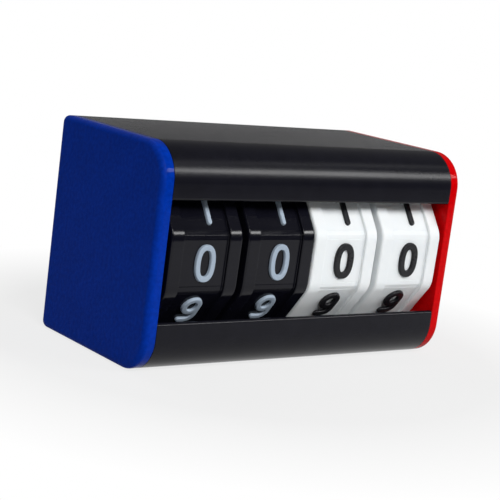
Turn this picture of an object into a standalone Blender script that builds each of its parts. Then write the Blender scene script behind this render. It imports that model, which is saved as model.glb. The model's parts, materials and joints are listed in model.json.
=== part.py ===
"""Tabletop scoreboard: an extruded housing, two end caps and four ten-sided number wheels.

Metres, +Z up, +X along the axle. The part stands on its flat base, and its origin is under the
middle of that base. The wheels show through a window between two lips in the front, at -Y.
The wheels set the size of the housing: each wall lies one named clearance from what it covers.
"""
import math

import bmesh
import bpy
from mathutils import Matrix, Vector

# Clearances
SEAT_GAP = 0.0003            # between pieces that are pressed, laid or slid together
RUNNING_GAP = 0.0003         # between the axle and what turns on it, all round
CUT_OVERRUN = 0.001          # how far a cutter runs past the face that it opens
FUSE_OVERLAP = 0.0005        # how far two shapes of one piece reach into each other

# Number wheels
TEAM_WHEEL_COUNT = 2         # wheels of one colour
FACE_COUNT = 10
WHEEL_RADIUS = 0.0239        # axle to the corner where two flange faces would meet
WHEEL_WIDTH = 0.0216
RIGHT_CAP_GAP = 0.0012       # between the last wheel and the right cap
TEAM_GAP = 0.0019            # between wheels of one colour
MIDDLE_GAP = 0.0004          # between the two colours
FLANGE_WIDTH = 0.0039        # the raised band on each side of the digits
FLANGE_CORNER_RADIUS = 0.0055
FLANGE_EDGE_RADIUS = 0.0006
DIGIT_FACE_RECESS = 0.0009   # digit faces lie this much below the flanges
DIGIT_CORNER_RADIUS = 0.0005
RIM_WALL = 0.0020
RIM_LEDGE = 0.0003           # the rim is this much thicker in the pockets between the ribs
RIB_THICKNESS = 0.0013
WEB_THICKNESS = 0.0018
HUB_RADIUS = 0.0055
HUB_RECESS = 0.0020          # hub and ribs stop this far inside the side faces

# Axle, sleeves and washers
AXLE_RADIUS = 0.0030
AXLE_END_CHAMFER = 0.0005
SLEEVE_WALL = 0.0017
WASHER_WALL = 0.0024
END_WASHER_THICKNESS = 0.0016
WAVE_WASHER_HEIGHT = 0.0010
WAVE_STRIP_THICKNESS = 0.0003
WAVE_COUNT = 3

# Housing
WALL = 0.0016
FRONT_SETBACK = 0.0004       # flange faces behind the front of the housing
BACK_CLEARANCE = 0.00125     # passing wheel corners to the back wall
BOTTOM_CLEARANCE = 0.00338   # passing wheel corners to the floor
WINDOW_HALF_HEIGHT = 0.0154  # above and below the axle
FRONT_CORNER_RADIUS = 0.0095
BACK_CORNER_RADIUS = 0.0020
LIP_EDGE_RADIUS = 0.0004

# Spring groove under the top wall
GROOVE_CLEARANCE = 0.00165   # passing wheel corners to the feet of the groove
GROOVE_FOOT_THICKNESS = 0.0010
GROOVE_WEB_THICKNESS = 0.0010
GROOVE_FOOT_HOLD = 0.0015    # how far a foot reaches under the edge of a spring

# Detent springs
SPRING_THICKNESS = 0.0004
FINGER_WIDTH = 0.0020
FINGER_SIDE_SLOT = 0.0004
FINGER_PAST_FACE_MIDDLE = 0.0037
FINGER_TIP = 0.0015
FINGER_TIP_ANGLE = math.radians(24)
SPRING_BORDER = 0.0026       # strip in front of the fingers and behind their slots

# End caps
CAP_PLATE = 0.0032
CAP_EDGE_RADIUS = 0.0015
CAP_SEAT_CHAMFER = 0.0003
CAP_CORNER_MINIMUM = 0.0002
PLUG_LENGTH = 0.0060
PLUG_THICKNESS = 0.0020
PLUG_WHEEL_CLEARANCE = 0.0006
PLUG_BELOW_LIP = 0.0010      # plugs stop this far behind the edge of a lip
BOSS_WALL = 0.0028
SOCKET_FLOOR = 0.0012        # plate left outside the end of the axle

# Facet counts
ARC_STEPS = 8
SMALL_ARC_STEPS = 3
ROUND_STEPS = 24
WAVE_STEPS = 36

# Sizes worked out from the values above
HALF_FACE = math.pi / FACE_COUNT
FACE_ANGLE = 2 * HALF_FACE
FLANGE_APOTHEM = WHEEL_RADIUS * math.cos(HALF_FACE)
DIGIT_APOTHEM = FLANGE_APOTHEM - DIGIT_FACE_RECESS
RIM_APOTHEM = DIGIT_APOTHEM - RIM_WALL
WHEEL_REACH = WHEEL_RADIUS - FLANGE_CORNER_RADIUS * (1 / math.cos(HALF_FACE) - 1)

WHEEL_COUNT = 2 * TEAM_WHEEL_COUNT
GAPS_IN_TEAM = [TEAM_GAP] * (TEAM_WHEEL_COUNT - 1)
LEFT_CAP_GAP = RIGHT_CAP_GAP + END_WASHER_THICKNESS - WAVE_WASHER_HEIGHT
GAPS = [LEFT_CAP_GAP] + GAPS_IN_TEAM + [MIDDLE_GAP] + GAPS_IN_TEAM + [RIGHT_CAP_GAP]

AXLE_Z = WALL + BOTTOM_CLEARANCE + WHEEL_REACH
GROOVE_FOOT_Z = AXLE_Z + WHEEL_REACH + GROOVE_CLEARANCE
SPRING_Z = GROOVE_FOOT_Z + GROOVE_FOOT_THICKNESS + SEAT_GAP + SPRING_THICKNESS / 2
CEILING_Z = SPRING_Z + SPRING_THICKNESS / 2 + SEAT_GAP
HEIGHT = CEILING_Z + WALL

AXLE_FROM_FRONT = FRONT_SETBACK + FLANGE_APOTHEM
DEPTH = AXLE_FROM_FRONT + WHEEL_REACH + BACK_CLEARANCE + WALL
FRONT_Y = -DEPTH / 2
BACK_Y = DEPTH / 2
AXLE_Y = FRONT_Y + AXLE_FROM_FRONT

INNER_WIDTH = WHEEL_COUNT * WHEEL_WIDTH + sum(GAPS)
CAP_INNER_X = INNER_WIDTH / 2
CAP_OUTER_X = CAP_INNER_X + CAP_PLATE
PROFILE_HALF_LENGTH = CAP_INNER_X - SEAT_GAP

WINDOW_BOTTOM = AXLE_Z - WINDOW_HALF_HEIGHT
WINDOW_TOP = AXLE_Z + WINDOW_HALF_HEIGHT
SHORTEST_LIP = min(WINDOW_BOTTOM, HEIGHT - WINDOW_TOP)
FRONT_RADIUS = min(FRONT_CORNER_RADIUS, SHORTEST_LIP - 2 * PLUG_BELOW_LIP)

BORE_RADIUS = AXLE_RADIUS + RUNNING_GAP
BOSS_HEIGHT = RIGHT_CAP_GAP + HUB_RECESS - WAVE_WASHER_HEIGHT - 2 * SEAT_GAP


def clear_scene():
    for old in list(bpy.data.objects):
        bpy.data.objects.remove(old, do_unlink=True)


def material(name, colour, roughness, metallic=0.0):
    made = bpy.data.materials.new(name)
    made.use_nodes = True
    shader = made.node_tree.nodes["Principled BSDF"]
    shader.inputs["Base Color"].default_value = (*colour, 1.0)
    shader.inputs["Roughness"].default_value = roughness
    shader.inputs["Metallic"].default_value = metallic
    made.diffuse_color = (*colour, 1.0)
    return made


def add_object(name, mesh_data, finish=None, round_edges_below=None):
    """Link a bmesh as an object, with faces pointing out."""
    bmesh.ops.recalc_face_normals(mesh_data, faces=mesh_data.faces)
    mesh = bpy.data.meshes.new(name)
    mesh_data.to_mesh(mesh)
    mesh_data.free()
    made = bpy.data.objects.new(name, mesh)
    bpy.context.scene.collection.objects.link(made)
    if finish is not None:
        mesh.materials.append(finish)
    if round_edges_below is not None:
        mesh.shade_smooth()
        mesh.set_sharp_from_angle(angle=round_edges_below)
    return made


def as_helper(helper):
    """A shape that is only joined to or cut from another one."""
    helper.hide_render = True
    helper.display_type = "WIRE"
    return helper


def combine(target, helper, operation):
    step = target.modifiers.new(operation.lower(), "BOOLEAN")
    step.operation = operation
    step.solver = "EXACT"
    step.object = as_helper(helper)


def loft(loops, mesh_data=None):
    """Skin a row of closed loops with equal numbers of points, and close both ends."""
    mesh_data = mesh_data or bmesh.new()
    rings = [[mesh_data.verts.new(point) for point in loop] for loop in loops]
    for first, second in zip(rings, rings[1:]):
        for i in range(len(first)):
            j = (i + 1) % len(first)
            mesh_data.faces.new((first[i], first[j], second[j], second[i]))
    mesh_data.faces.new(list(reversed(rings[0])))
    mesh_data.faces.new(rings[-1])
    return mesh_data


def at_x(outline, x):
    """Stand an outline of (y, z) pairs in the plane of the given x."""
    return [Vector((x, y, z)) for y, z in outline]


def prism(outline, x_low, x_high, mesh_data=None):
    return loft([at_x(outline, x_low), at_x(outline, x_high)], mesh_data)


def arc(centre_y, centre_z, radius, start, end, steps):
    """Points of an arc; the angle runs from +Y towards +Z."""
    points = []
    for i in range(steps + 1):
        angle = start + (end - start) * i / steps
        points.append((centre_y + radius * math.cos(angle), centre_z + radius * math.sin(angle)))
    return points


def circle(radius, steps=ROUND_STEPS):
    return arc(0, 0, radius, 0, 2 * math.pi * (steps - 1) / steps, steps - 1)


def turned(profile, steps=ROUND_STEPS):
    """Turn a closed profile of (x, radius) pairs about the X axis."""
    mesh_data = bmesh.new()
    rings = []
    for x, radius in profile:
        rings.append([mesh_data.verts.new((x, y, z)) for y, z in circle(radius, steps)])
    for first, second in zip(rings, rings[1:] + rings[:1]):
        for i in range(steps):
            j = (i + 1) % steps
            mesh_data.faces.new((first[i], first[j], second[j], second[i]))
    return mesh_data


def polygon(apothem, corner_radius):
    """The ten-sided outline about the axle, with each corner rounded; one flat faces -Y."""
    corner_at = apothem / math.cos(HALF_FACE) - corner_radius / math.cos(HALF_FACE)
    points = []
    for face in range(FACE_COUNT):
        angle = math.pi + HALF_FACE + face * FACE_ANGLE
        centre_y = corner_at * math.cos(angle)
        centre_z = corner_at * math.sin(angle)
        points += arc(centre_y, centre_z, corner_radius, angle - HALF_FACE, angle + HALF_FACE,
                      SMALL_ARC_STEPS)
    return points


# Number wheels

def wheel_rim():
    """Two flanges with rounded edges, and the digit faces sunk between them."""
    half = WHEEL_WIDTH / 2
    rounding = []
    for i in range(SMALL_ARC_STEPS + 1):
        turn = math.pi / 2 * i / SMALL_ARC_STEPS
        inset = FLANGE_EDGE_RADIUS * (1 - math.sin(turn))
        rounding.append((half - FLANGE_EDGE_RADIUS * (1 - math.cos(turn)), inset))
    flange_inner_x = half - FLANGE_WIDTH
    loops = []
    for x, inset in rounding:
        loops.append(at_x(polygon(FLANGE_APOTHEM - inset, FLANGE_CORNER_RADIUS), x))
    loops.append(at_x(polygon(FLANGE_APOTHEM, FLANGE_CORNER_RADIUS), flange_inner_x))
    loops.append(at_x(polygon(DIGIT_APOTHEM, DIGIT_CORNER_RADIUS), flange_inner_x))
    mirrored = [[Vector((-p.x, p.y, p.z)) for p in loop] for loop in reversed(loops)]
    return loft(loops + mirrored)


def side_recesses():
    """Opens both sides of the wheel inside the rim, down to the ends of the hub and ribs."""
    half = WHEEL_WIDTH / 2
    outline = polygon(RIM_APOTHEM, DIGIT_CORNER_RADIUS)
    mesh_data = prism(outline, half - HUB_RECESS, half + CUT_OVERRUN)
    return prism(outline, -half - CUT_OVERRUN, -half + HUB_RECESS, mesh_data)


def pocket_outline(face):
    """One pocket between two ribs, the rim and the hub."""
    middle = math.pi + face * FACE_ANGLE
    half_rib = RIB_THICKNESS / 2
    rim_at = RIM_APOTHEM - RIM_LEDGE
    rim_half = rim_at * math.tan(HALF_FACE) - half_rib / math.cos(HALF_FACE)
    hub_half_angle = HALF_FACE - math.asin(half_rib / HUB_RADIUS)
    points = [(rim_at, rim_half)]
    points += arc(0, 0, HUB_RADIUS, hub_half_angle, -hub_half_angle, SMALL_ARC_STEPS)
    points.append((rim_at, -rim_half))
    turn = Matrix.Rotation(middle, 2)
    return [tuple(turn @ Vector(point)) for point in points]


def rib_pockets():
    half = WHEEL_WIDTH / 2
    mesh_data = bmesh.new()
    for face in range(FACE_COUNT):
        outline = pocket_outline(face)
        for side in (-1, 1):
            near, far = sorted((side * WEB_THICKNESS / 2, side * (half - HUB_RECESS + CUT_OVERRUN)))
            prism(outline, near, far, mesh_data)
    return mesh_data


def make_wheel(index, finish):
    wheel = add_object(f"number_wheel_{index + 1}", wheel_rim(), finish, math.radians(30))
    cutters = (
        ("side_recess_cutter", side_recesses()),
        ("rib_pocket_cutter", rib_pockets()),
        ("bore_cutter", prism(circle(BORE_RADIUS), -WHEEL_WIDTH, WHEEL_WIDTH)),
    )
    place = Vector((wheel_x(index), AXLE_Y, AXLE_Z))
    wheel.location = place
    for name, shape in cutters:
        cutter = add_object(f"{name}_{index + 1}", shape)
        cutter.location = place
        combine(wheel, cutter, "DIFFERENCE")
    return wheel


def wheel_x(index):
    """The middle of a wheel, counted from the left; gap 0 is at the left cap."""
    left_edge = sum(GAPS[:index + 1]) + index * WHEEL_WIDTH - INNER_WIDTH / 2
    return left_edge + WHEEL_WIDTH / 2


# Axle and what sits on it

def make_axle(finish):
    end = CAP_OUTER_X - SOCKET_FLOOR - SEAT_GAP
    tip = AXLE_RADIUS - AXLE_END_CHAMFER
    stations = ((-end, tip), (-end + AXLE_END_CHAMFER, AXLE_RADIUS),
                (end - AXLE_END_CHAMFER, AXLE_RADIUS), (end, tip))
    axle = add_object("axle", loft([at_x(circle(r), x) for x, r in stations]), finish,
                      math.radians(30))
    axle.location = (0, AXLE_Y, AXLE_Z)
    return axle


def make_ring(name, centre_x, length, wall, finish):
    """A plain tube on the axle."""
    half = length / 2
    outer = BORE_RADIUS + wall
    profile = ((-half, BORE_RADIUS), (half, BORE_RADIUS), (half, outer), (-half, outer))
    ring = add_object(name, turned(profile), finish, math.radians(30))
    ring.location = (centre_x, AXLE_Y, AXLE_Z)
    return ring


def make_wave_washer(centre_x, finish):
    """A spring ring that rises and falls round its circle."""
    swing = (WAVE_WASHER_HEIGHT - WAVE_STRIP_THICKNESS) / 2
    half = WAVE_STRIP_THICKNESS / 2
    corners = ((-half, BORE_RADIUS), (half, BORE_RADIUS),
               (half, BORE_RADIUS + WASHER_WALL), (-half, BORE_RADIUS + WASHER_WALL))
    mesh_data = turned(corners, WAVE_STEPS)
    for vertex in mesh_data.verts:
        angle = math.atan2(vertex.co.z, vertex.co.y)
        vertex.co.x += swing * math.cos(WAVE_COUNT * angle)
    washer = add_object("wave_washer", mesh_data, finish, math.radians(40))
    washer.location = (centre_x, AXLE_Y, AXLE_Z)
    return washer


# Detent springs

def finger_line():
    """Middle line of a finger: it lies along the flange face behind the top corner."""
    lean = HALF_FACE
    distance = FLANGE_APOTHEM + SEAT_GAP + SPRING_THICKNESS / 2
    along = Vector((math.cos(lean), -math.sin(lean)))
    face_middle = Vector((AXLE_Y + distance * math.sin(lean), AXLE_Z + distance * math.cos(lean)))
    root = face_middle - along * ((SPRING_Z - face_middle.y) / math.sin(lean))
    end = face_middle + along * FINGER_PAST_FACE_MIDDLE
    kick = FINGER_TIP_ANGLE - lean
    tip = end + Vector((math.cos(kick), math.sin(kick))) * FINGER_TIP
    return [root, face_middle, end, tip]


def spring_span():
    """Front edge, finger root, back of the slots and back edge of a spring, along Y."""
    line = finger_line()
    length = sum((b - a).length for a, b in zip(line, line[1:]))
    root = line[0].x
    slot_end = root + length
    return root - SPRING_BORDER, root, slot_end, slot_end + SPRING_BORDER


def spring_half(gap_index):
    """Half of a spring's length: up to the cap, or to the middle of a gap between wheels."""
    free = GAPS[gap_index] - SEAT_GAP
    beside_cap = gap_index in (0, WHEEL_COUNT)
    return WHEEL_WIDTH / 2 + (free if beside_cap else free / 2)


def spring_sheet(index):
    """The flat strip with its two slots and the two bent fingers, as one thin sheet."""
    front, root, slot_end, back = spring_span()
    flange_middle = (WHEEL_WIDTH - FLANGE_WIDTH) / 2
    half_finger = FINGER_WIDTH / 2
    half_slot = half_finger + FINGER_SIDE_SLOT
    columns = [-spring_half(index)]
    for middle in (-flange_middle, flange_middle):
        columns += [middle - half_slot, middle - half_finger, middle + half_finger,
                    middle + half_slot]
    columns.append(spring_half(index + 1))
    finger_columns = (2, 6)
    slot_columns = (1, 2, 3, 5, 6, 7)
    mesh_data = bmesh.new()
    rows = []
    for y in (front, root, slot_end, back):
        rows.append([mesh_data.verts.new((x, y, SPRING_Z)) for x in columns])
    for row, (low, high) in enumerate(zip(rows, rows[1:])):
        for i in range(len(columns) - 1):
            if row == 1 and i in slot_columns:
                continue
            mesh_data.faces.new((low[i], low[i + 1], high[i + 1], high[i]))
    for i in finger_columns:
        left, right = rows[1][i], rows[1][i + 1]
        for point in finger_line()[1:]:
            next_left = mesh_data.verts.new((left.co.x, point.x, point.y))
            next_right = mesh_data.verts.new((right.co.x, point.x, point.y))
            mesh_data.faces.new((left, right, next_right, next_left))
            left, right = next_left, next_right
    return mesh_data


def make_detent_spring(index, finish):
    spring = add_object(f"detent_spring_{index + 1}", spring_sheet(index), finish)
    spring.location = (wheel_x(index), 0, 0)
    thicken = spring.modifiers.new("sheet_thickness", "SOLIDIFY")
    thicken.thickness = SPRING_THICKNESS
    thicken.offset = 0
    thicken.use_even_offset = True
    return spring


# Housing

def lower_front_arc(offset):
    """The rounded front corner at the base, walked from the base up to the front."""
    return arc(FRONT_Y + FRONT_RADIUS, FRONT_RADIUS, FRONT_RADIUS - offset,
               -math.pi / 2, -math.pi, ARC_STEPS)


def upper_front_arc(offset):
    """The rounded front corner at the top, walked from the front up to the top."""
    return arc(FRONT_Y + FRONT_RADIUS, HEIGHT - FRONT_RADIUS, FRONT_RADIUS - offset,
               math.pi, math.pi / 2, ARC_STEPS)


def lower_back_arc(radius, offset=0):
    """The back corner at the base, walked from the back down to the base."""
    return arc(BACK_Y - offset - radius, offset + radius, radius, 0, -math.pi / 2, SMALL_ARC_STEPS)


def upper_back_arc(radius, offset=0):
    """The back corner at the top, walked from the top down to the back."""
    return arc(BACK_Y - offset - radius, HEIGHT - offset - radius, radius, math.pi / 2, 0,
               SMALL_ARC_STEPS)


def groove_hooks():
    """The two hooks of the spring groove, walked from the back to the front under the top wall."""
    spring_front, _, _, spring_back = spring_span()
    foot_top = GROOVE_FOOT_Z + GROOVE_FOOT_THICKNESS
    points = []
    for edge, outward in ((spring_back, 1), (spring_front, -1)):
        web_inner = edge + outward * SEAT_GAP
        web_outer = web_inner + outward * GROOVE_WEB_THICKNESS
        foot_tip = edge - outward * GROOVE_FOOT_HOLD
        hook = [(web_outer, CEILING_Z), (web_outer, GROOVE_FOOT_Z), (foot_tip, GROOVE_FOOT_Z),
                (foot_tip, foot_top), (web_inner, foot_top), (web_inner, CEILING_Z)]
        points += hook if outward > 0 else list(reversed(hook))
    return points


def lip_end(tip_z, upward):
    """The rounded edge of a lip, walked from the outer face to the inner one."""
    radius = LIP_EDGE_RADIUS
    outer_y = FRONT_Y + radius
    inner_y = FRONT_Y + WALL - radius
    if upward:
        return (arc(outer_y, tip_z - radius, radius, math.pi, math.pi / 2, SMALL_ARC_STEPS)
                + arc(inner_y, tip_z - radius, radius, math.pi / 2, 0, SMALL_ARC_STEPS))
    return (arc(inner_y, tip_z + radius, radius, 0, -math.pi / 2, SMALL_ARC_STEPS)
            + arc(outer_y, tip_z + radius, radius, -math.pi / 2, -math.pi, SMALL_ARC_STEPS))


def housing_section():
    outside = lower_back_arc(BACK_CORNER_RADIUS) + lower_front_arc(0)
    lower_lip = lip_end(WINDOW_BOTTOM, True)
    inner_floor = list(reversed(lower_front_arc(WALL))) + [(BACK_Y - WALL, WALL)]
    inner_top = [(BACK_Y - WALL, CEILING_Z)] + groove_hooks() + list(reversed(upper_front_arc(WALL)))
    upper_lip = lip_end(WINDOW_TOP, False)
    outside_top = upper_front_arc(0) + upper_back_arc(BACK_CORNER_RADIUS)
    return outside + lower_lip + inner_floor + inner_top + upper_lip + outside_top


def make_housing(finish):
    return add_object("housing_profile", prism(housing_section(), -PROFILE_HALF_LENGTH,
                                               PROFILE_HALF_LENGTH), finish, math.radians(20))


# End caps

def cap_outline(inset):
    """The closed outside of the housing, drawn in by the inset."""
    back_radius = max(BACK_CORNER_RADIUS - inset, CAP_CORNER_MINIMUM)
    return (upper_front_arc(inset) + upper_back_arc(back_radius, inset)
            + lower_back_arc(back_radius, inset) + lower_front_arc(inset))


def cap_plate():
    """A plate with a rounded outer edge and a fine chamfer where it meets the housing."""
    stations = [(CAP_INNER_X, CAP_SEAT_CHAMFER), (CAP_INNER_X + CAP_SEAT_CHAMFER, 0)]
    for i in range(2 * SMALL_ARC_STEPS + 1):
        turn = math.pi / 2 * i / (2 * SMALL_ARC_STEPS)
        x = CAP_OUTER_X - CAP_EDGE_RADIUS * (1 - math.sin(turn))
        stations.append((x, CAP_EDGE_RADIUS * (1 - math.cos(turn))))
    return loft([at_x(cap_outline(inset), x) for x, inset in stations])


def cap_plugs():
    """Three plugs that press into the ends of the housing, clear of wheels, springs and window."""
    outer = WALL + SEAT_GAP
    inner = outer + PLUG_THICKNESS
    spring_front, _, _, spring_back = spring_span()
    hook_room = 2 * SEAT_GAP + GROOVE_WEB_THICKNESS
    plug_back_y = BACK_Y - inner - AXLE_Y
    clear_radius = max(WHEEL_REACH + PLUG_WHEEL_CLEARANCE, plug_back_y)
    back_stop = math.sqrt(clear_radius ** 2 - plug_back_y ** 2) + PLUG_WHEEL_CLEARANCE
    low_front_z = WINDOW_BOTTOM - PLUG_BELOW_LIP
    high_front_z = WINDOW_TOP + PLUG_BELOW_LIP
    lower = [(FRONT_Y + outer, low_front_z)] + list(reversed(lower_front_arc(outer)))
    lower += [(BACK_Y - outer, outer), (BACK_Y - outer, AXLE_Z - back_stop),
              (BACK_Y - inner, AXLE_Z - back_stop), (BACK_Y - inner, inner)]
    lower += lower_front_arc(inner) + [(FRONT_Y + inner, low_front_z)]
    top_front_y = spring_front - hook_room
    upper_front = [(FRONT_Y + outer, high_front_z)] + upper_front_arc(outer)
    upper_front += [(top_front_y, HEIGHT - outer), (top_front_y, HEIGHT - inner)]
    upper_front += list(reversed(upper_front_arc(inner))) + [(FRONT_Y + inner, high_front_z)]
    top_back_y = spring_back + hook_room
    upper_back = [(top_back_y, HEIGHT - outer), (BACK_Y - outer, HEIGHT - outer),
                  (BACK_Y - outer, AXLE_Z + back_stop), (BACK_Y - inner, AXLE_Z + back_stop),
                  (BACK_Y - inner, HEIGHT - inner), (top_back_y, HEIGHT - inner)]
    mesh_data = bmesh.new()
    for outline in (lower, upper_front, upper_back):
        prism(outline, CAP_INNER_X - PLUG_LENGTH, CAP_INNER_X + FUSE_OVERLAP, mesh_data)
    return mesh_data


def mirrored_in_x(mesh_data):
    for vertex in mesh_data.verts:
        vertex.co.x = -vertex.co.x
    return mesh_data


def make_cap(name, side, finish):
    """The right cap is modelled, and the left one is its mirror image."""
    face = mirrored_in_x if side < 0 else (lambda shape: shape)
    cap = add_object(name, face(cap_plate()), finish, math.radians(25))
    boss_radius = BORE_RADIUS + BOSS_WALL
    boss = prism(circle(boss_radius), CAP_INNER_X - BOSS_HEIGHT, CAP_INNER_X + FUSE_OVERLAP)
    socket = prism(circle(BORE_RADIUS), CAP_INNER_X - BOSS_HEIGHT - CUT_OVERRUN,
                   CAP_OUTER_X - SOCKET_FLOOR)
    combine(cap, add_object(f"{name}_plugs", face(cap_plugs())), "UNION")
    for part_name, shape, operation in (("boss", boss, "UNION"), ("socket", socket, "DIFFERENCE")):
        helper = add_object(f"{name}_{part_name}", face(shape))
        helper.location = (0, AXLE_Y, AXLE_Z)
        combine(cap, helper, operation)
    return cap


def build():
    clear_scene()
    black_metal = material("black_anodised_aluminium", (0.022, 0.022, 0.026), 0.38, 0.6)
    blue = material("blue_plastic", (0.003, 0.028, 0.36), 0.55)
    red = material("red_plastic", (0.62, 0.0, 0.006), 0.45)
    black = material("black_plastic", (0.018, 0.018, 0.022), 0.42)
    white = material("white_plastic", (0.86, 0.89, 0.9), 0.42)
    steel = material("bright_steel", (0.55, 0.55, 0.56), 0.3, 1.0)
    spring_steel = material("spring_steel", (0.42, 0.42, 0.44), 0.35, 1.0)
    nylon = material("natural_nylon", (0.75, 0.73, 0.68), 0.5)

    make_housing(black_metal)
    make_cap("left_end_cap", -1, blue)
    make_cap("right_end_cap", 1, red)
    make_axle(steel)
    for index in range(WHEEL_COUNT):
        make_wheel(index, black if index < TEAM_WHEEL_COUNT else white)
        make_detent_spring(index, spring_steel)
    for number, gap in enumerate(GAPS[1:-1], 1):
        between = wheel_x(number) - (WHEEL_WIDTH + gap) / 2
        length = gap + 2 * HUB_RECESS - 2 * SEAT_GAP
        make_ring(f"spacer_sleeve_{number}", between, length, SLEEVE_WALL, nylon)
    seat_x = CAP_INNER_X - BOSS_HEIGHT - SEAT_GAP
    make_ring("end_washer", END_WASHER_THICKNESS / 2 - seat_x, END_WASHER_THICKNESS, WASHER_WALL,
              nylon)
    make_wave_washer(seat_x - WAVE_WASHER_HEIGHT / 2, spring_steel)


build()
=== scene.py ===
"""The looks of the tabletop scoreboard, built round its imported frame.

Metres, in the frame's own axes: +X along the axle, +Z up, and -Y out of the window.
"""
import json
import math

import bmesh
import bpy
from mathutils import Matrix, Vector


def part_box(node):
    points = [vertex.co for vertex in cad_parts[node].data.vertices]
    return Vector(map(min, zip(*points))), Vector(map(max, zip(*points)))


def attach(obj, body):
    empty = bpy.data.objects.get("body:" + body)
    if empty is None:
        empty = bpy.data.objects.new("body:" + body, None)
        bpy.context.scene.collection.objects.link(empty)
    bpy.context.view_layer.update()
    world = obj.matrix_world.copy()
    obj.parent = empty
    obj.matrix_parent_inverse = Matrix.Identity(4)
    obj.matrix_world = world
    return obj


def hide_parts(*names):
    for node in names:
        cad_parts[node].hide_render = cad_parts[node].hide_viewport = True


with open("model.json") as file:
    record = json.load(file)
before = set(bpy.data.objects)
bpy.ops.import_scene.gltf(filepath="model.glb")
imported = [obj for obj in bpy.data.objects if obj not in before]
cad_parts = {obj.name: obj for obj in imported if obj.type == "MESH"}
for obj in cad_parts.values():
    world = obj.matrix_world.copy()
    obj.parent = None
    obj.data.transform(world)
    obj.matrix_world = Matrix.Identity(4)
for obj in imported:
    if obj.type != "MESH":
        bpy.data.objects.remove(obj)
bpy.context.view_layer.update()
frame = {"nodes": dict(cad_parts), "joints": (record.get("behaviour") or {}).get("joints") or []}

# Places taken from the frame
WHEEL_CENTRES = {joint["child"]: Vector(joint["pos_m"]) for joint in frame["joints"]}
WHEEL_LOW, WHEEL_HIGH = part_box("number_wheel_1")
HOUSING_LOW, HOUSING_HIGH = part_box("housing_profile")
SPRING_LOW, SPRING_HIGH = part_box("detent_spring_1")
AXLE_Y = WHEEL_CENTRES["wheel_1"].y
AXLE_Z = WHEEL_CENTRES["wheel_1"].z
FRONT_Y = HOUSING_LOW.y
BACK_Y = HOUSING_HIGH.y
HEIGHT = HOUSING_HIGH.z
CAP_OUTER_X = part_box("right_end_cap")[1].x

# Sizes that the frame's boxes don't give
SEAT_GAP = 0.0003
CUT_OVERRUN = 0.001
FUSE_OVERLAP = 0.0005

# Number wheels
FACE_COUNT = 10
REST_TURN = math.radians(1.2)      # the 0 faces rest turned down this far
FLANGE_WIDTH = 0.0039
FLANGE_CORNER_RADIUS = 0.0055
FLANGE_EDGE_RADIUS = 0.0006
FLANGE_STEP_RADIUS = 0.0003
STEP_FOOT_RADIUS = 0.00015
DIGIT_FACE_RECESS = 0.0009
DIGIT_CORNER_RADIUS = 0.00025
BORDER_WIDTH = 0.00112             # a digit face falls away along its top and bottom
BORDER_FALL = 0.00012
BORDER_STEP = 0.000045             # the border starts this far below the face
BORDER_LINE_DEPTH = 0.00011        # the fine line between the border and the face
BORDER_LINE_WIDTH = 0.00017
RIM_WALL = 0.0020
RIM_LEDGE = 0.0003
RIB_THICKNESS = 0.0013
WEB_THICKNESS = 0.0018
HUB_RADIUS = 0.0055
HUB_RECESS = 0.0020
BORE_RADIUS = 0.0033

# Digits: moulded with the wheel, and painted over the top of the strokes
PALE_DIGIT = {"width": 0.00594, "height": 0.00951, "stroke": 0.00145}
BLACK_DIGIT = {"width": 0.00636, "height": 0.00962, "stroke": 0.00178}
ZERO_POWER = 2.4                   # 2 would make the 0 an ellipse
STROKE_RAISE = 0.00075
STROKE_BARE_HEIGHT = 0.00030       # paint stops this far above the face
STROKE_FOOT_SPREAD = 0.00006
STROKE_EDGE_RADIUS = 0.00028
STROKE_SINK = 0.00005
ONE_STROKE_SHARE = 0.85            # the 1 is drawn a little thinner
DIGIT_SHIFT = 0.00037              # the digits sit this far right of the middle

# Housing
WALL = 0.0016
WINDOW_HALF_HEIGHT = 0.0154
FRONT_RADIUS = 0.0095
BACK_CORNER_RADIUS = 0.0020
LIP_EDGE_RADIUS = 0.00075
LOWER_LIP_RISE = 0.0003            # the highlight on its rounding lies this far below its tip
SAWN_EDGE_BEVEL = 0.00010
GROOVE_FOOT_THICKNESS = 0.0010
GROOVE_WEB_THICKNESS = 0.0010
GROOVE_FOOT_HOLD = 0.0015
SPRING_THICKNESS = 0.0004

# End caps
CAP_EDGE_RADIUS = 0.0015
CAP_JOINT_GAP = 0.00006            # how near the plate comes to the housing's end
CAP_SEAT_CHAMFER = 0.00012
CAP_CORNER_MINIMUM = 0.0002
PLUG_LENGTH = 0.0060
PLUG_THICKNESS = 0.0020
PLUG_WHEEL_CLEARANCE = 0.0006
PLUG_BELOW_LIP = 0.0010
BOSS_WALL = 0.0028
SOCKET_FLOOR = 0.0012

# Facet counts
ARC_STEPS = 24
EDGE_STEPS = 6
CORNER_STEPS = 8
ROUND_STEPS = 64
STROKE_STEPS = 40
LEAST_RUN_STEPS = 4

# Limits: flatter edges are shaded smooth, and closer points are merged
MOULDED_SMOOTH_ANGLE = math.radians(35)
PLATE_SMOOTH_ANGLE = math.radians(25)
GENTLE_BEND = math.radians(20)     # below it a stroke bends without a fan of points
MERGE_DISTANCE = 0.000001

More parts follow.
